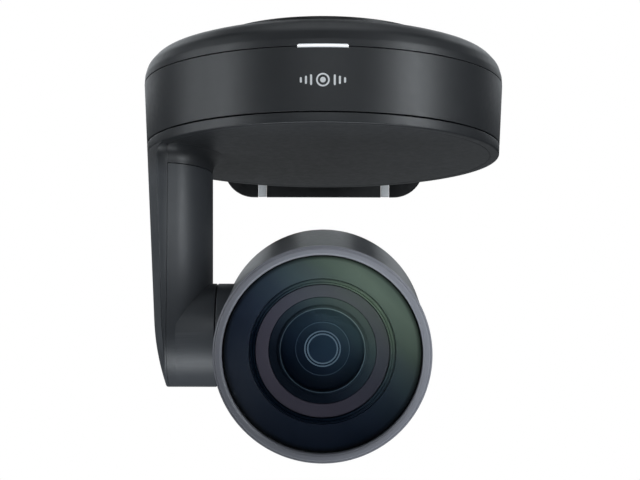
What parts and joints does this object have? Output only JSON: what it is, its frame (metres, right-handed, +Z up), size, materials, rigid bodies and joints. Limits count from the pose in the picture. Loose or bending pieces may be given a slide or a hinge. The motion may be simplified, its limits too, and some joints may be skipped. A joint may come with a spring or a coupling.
{
  "type": "ptz camera",
  "caption": "Compact PTZ camera hung upside down under an L-shaped wall bracket: round base with light bar, turntable with one side arm, tilting barrel head with a wide lens.",
  "frame": {"origin": "centre of the bracket's wall face, 24 mm above the turntable's flat underside and 90 mm behind the pan axis", "axes": "+Z up, +Y into the wall, the lens faces -Y at rest and the arm is on the -X side"},
  "size_m": [0.1518, 0.166, 0.1862],
  "materials": {
    "black_metal": "satin black powder coat",
    "strip": "matt pale grey",
    "rubber": "matt",
    "shell": "fine-textured satin charcoal",
    "bezel": "satin purplish grey",
    "black_plastic": "fine matt black",
    "lens_black": "semi-gloss black",
    "mauve": "satin brown-purple",
    "coated_glass": "polished, green to blue coating",
    "light": "milky light guide, lit white",
    "brass": "machined",
    "aluminium": "satin",
    "steel": "satin",
    "board": "green solder mask",
    "nylon": "natural",
    "cable": "amber polyimide"
  },
  "bodies": {
    "base": {"wall_bracket": "black_metal", "spacer_strip_left": "strip", "spacer_strip_right": "strip", "mount_screw": "steel", "foot_ring": "rubber", "base_bottom_cover": "shell", "thread_insert": "brass", "cover_screw_1": "steel", "cover_screw_2": "steel", "cover_screw_3": "steel", "cover_screw_4": "steel", "base_shell": "shell", "status_light_bar": "light", "light_board": "board", "chassis_plate": "aluminium", "main_board": "board", "port_panel": "black_plastic", "power_jack": "black_plastic", "data_socket": "steel", "video_socket": "steel", "pan_motor": "steel", "pan_bearing_outer": "steel"},
    "turntable": {"turntable_shell": "shell", "arm_inner_cover": "shell", "pan_gear": "nylon", "pan_hub": "aluminium", "pan_bearing_inner": "steel", "arm_frame": "aluminium", "arm_flat_cable": "cable", "tilt_motor": "steel", "tilt_bush": "nylon"},
    "head": {"head_shell": "shell", "head_rear_cover": "shell", "rear_screw_1": "steel", "rear_screw_2": "steel", "rear_screw_3": "steel", "front_ring": "bezel", "front_glass": "coated_glass", "lens_baffle": "lens_black", "retaining_ring": "black_plastic", "lens_face_ring": "mauve", "lens_barrel": "lens_black", "front_element": "coated_glass", "iris_plate": "black_plastic", "guide_rod_left": "steel", "guide_rod_right": "steel", "zoom_motor": "steel", "focus_motor": "steel", "optics_frame": "aluminium", "sensor_board": "board", "image_sensor": "coated_glass", "tilt_shaft": "steel", "tilt_gear": "nylon"},
    "pan_pinion": {"pan_pinion": "brass"},
    "tilt_pinion": {"tilt_pinion": "brass"},
    "zoom_group": {"zoom_group": "lens_black"},
    "focus_group": {"focus_group": "lens_black"},
    "zoom_screw": {"zoom_screw": "steel"},
    "focus_screw": {"focus_screw": "steel"}
  },
  "joints": [
    {"name": "pan", "type": "hinge", "parent": "base", "child": "turntable", "pos_m": [0, -0.09, -0.024], "axis": [0, 0, 1], "range_deg": [-90, 90]},
    {"name": "tilt", "type": "hinge", "parent": "turntable", "child": "head", "pos_m": [0, -0.09, -0.0996], "axis": [1, 0, 0], "range_deg": [-104, 36]},
    {"name": "pan_pinion_turn", "type": "hinge", "parent": "base", "child": "pan_pinion", "pos_m": [0.02581, -0.12686, -0.019], "axis": [0, 0, 1], "range_deg": [-362, 362]},
    {"name": "tilt_pinion_turn", "type": "hinge", "parent": "turntable", "child": "tilt_pinion", "pos_m": [0, -0.09, -0.0793], "axis": [1, 0, 0], "range_deg": [-81, 232]},
    {"name": "zoom_slide", "type": "slide", "parent": "head", "child": "zoom_group", "axis": [0, 0.9703, 0.2419], "range_m": [0, 0.008]},
    {"name": "focus_slide", "type": "slide", "parent": "head", "child": "focus_group", "axis": [0, 0.9703, 0.2419], "range_m": [-0.0015, 0.003]},
    {"name": "zoom_screw_turn", "type": "hinge", "parent": "head", "child": "zoom_screw", "pos_m": [0, -0.1157, -0.07921], "axis": [0, 0.9703, 0.2419], "range_deg": [-2, 722]},
    {"name": "focus_screw_turn", "type": "hinge", "parent": "head", "child": "focus_screw", "pos_m": [0, -0.09729, -0.12821], "axis": [0, 0.9703, 0.2419], "range_deg": [-136, 272]}
  ],
  "couplings": [
    {"joint": "pan_pinion_turn", "follows": "pan", "ratio": -4},
    {"joint": "tilt_pinion_turn", "follows": "tilt", "ratio": -2.2222},
    {"joint": "zoom_screw_turn", "follows": "zoom_slide", "rad_per_m": 1570.8},
    {"joint": "focus_screw_turn", "follows": "focus_slide", "rad_per_m": 1570.8}
  ]
}
